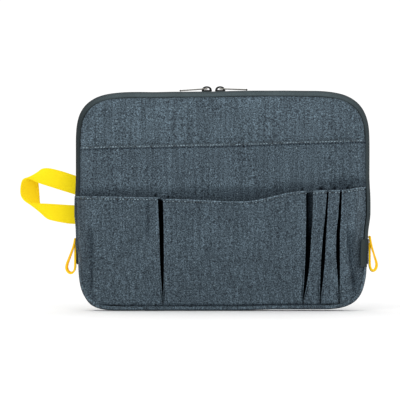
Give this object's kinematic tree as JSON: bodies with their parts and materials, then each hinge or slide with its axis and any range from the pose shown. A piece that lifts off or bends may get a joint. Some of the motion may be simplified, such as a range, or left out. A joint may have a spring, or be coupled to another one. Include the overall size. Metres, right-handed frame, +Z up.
{
  "type": "travel document organizer",
  "caption": "Flat zipped document organizer in denim with padded panels, slip pocket, divided front pockets, side loops and a webbing hand strap.",
  "frame": {"origin": "middle of the flat base that the organizer stands on", "axes": "+X to the right seen from the front, -Y out of the pocket front, +Z up towards the zip"},
  "size_m": [0.3797, 0.0524, 0.2371],
  "materials": {
    "denim": "slate blue-grey denim, salt-and-pepper twill, matte",
    "gusset_fabric": "dark green-grey zip tape and gusset, plain weave, matte",
    "foam": "pale closed-cell foam, matte",
    "lining": "charcoal polyester lining, matte",
    "zip_coil": "near-black nylon coil, satin",
    "black_tape": "near-black woven tape, matte",
    "gunmetal": "gunmetal, satin",
    "puller_metal": "antiqued grey metal, satin",
    "yellow_webbing": "bright yellow woven webbing, matte",
    "yellow_tape": "golden yellow narrow tape, matte"
  },
  "bodies": {
    "back_shell": {"back_outer_panel": "denim", "back_foam_pad": "foam", "back_lining": "lining", "back_seam_binding": "black_tape", "back_zip_gusset": "gusset_fabric", "back_zip_teeth": "zip_coil", "lower_gusset": "denim", "document_pocket": "lining", "left_zip_end_tab": "black_tape", "right_zip_end_tab": "black_tape", "left_zip_stop": "gunmetal", "right_zip_stop": "gunmetal"},
    "front_cover": {"front_outer_panel": "denim", "front_foam_pad": "foam", "front_lining": "lining", "front_seam_binding": "black_tape", "front_zip_gusset": "gusset_fabric", "front_zip_teeth": "zip_coil", "card_pocket": "lining", "slip_pocket": "denim", "left_pocket": "denim", "centre_pocket": "denim", "pen_pocket_1": "denim", "pen_pocket_2": "denim", "pen_pocket_3": "denim", "side_label": "black_tape"},
    "left_slider": {"left_slider_body": "gunmetal", "left_slider_crown": "gunmetal"},
    "left_pull_tab": {"left_puller": "puller_metal"},
    "right_slider": {"right_slider_body": "gunmetal", "right_slider_crown": "gunmetal"},
    "right_pull_tab": {"right_puller": "puller_metal"},
    "hand_strap": {"hand_strap": "yellow_webbing"},
    "left_side_loop": {"left_side_loop": "yellow_tape"},
    "right_side_loop": {"right_side_loop": "yellow_tape"}
  },
  "joints": [
    {"name": "front_cover_opening", "type": "hinge", "parent": "back_shell", "child": "front_cover", "pos_m": [0, -0.011, 0.003], "axis": [1, 0, 0], "range_deg": [0, 20]},
    {"name": "left_slider_run", "type": "slide", "parent": "back_shell", "child": "left_slider", "axis": [-1, 0, 0], "range_m": [0, 0.072]},
    {"name": "right_slider_run", "type": "slide", "parent": "back_shell", "child": "right_slider", "axis": [1, 0, 0], "range_m": [0, 0.086]},
    {"name": "left_puller_swing", "type": "hinge", "parent": "left_slider", "child": "left_pull_tab", "pos_m": [-0.0165, 0, 0.2344], "axis": [0, 1, 0], "range_deg": [0, 100]},
    {"name": "right_puller_swing", "type": "hinge", "parent": "right_slider", "child": "right_pull_tab", "pos_m": [-0.0024, 0, 0.2344], "axis": [0, -1, 0], "range_deg": [0, 100]},
    {"name": "hand_strap_swing", "type": "hinge", "parent": "back_shell", "child": "hand_strap", "pos_m": [-0.1498, 0.0119, 0.1166], "axis": [0, 0, 1], "range_deg": [-90, 22]},
    {"name": "left_side_loop_swing", "type": "hinge", "parent": "back_shell", "child": "left_side_loop", "pos_m": [-0.1571, 0, 0.0775], "axis": [0, 1, 0], "range_deg": [0, 90]},
    {"name": "right_side_loop_swing", "type": "hinge", "parent": "back_shell", "child": "right_side_loop", "pos_m": [0.1571, 0, 0.0775], "axis": [0, -1, 0], "range_deg": [0, 90]}
  ]
}
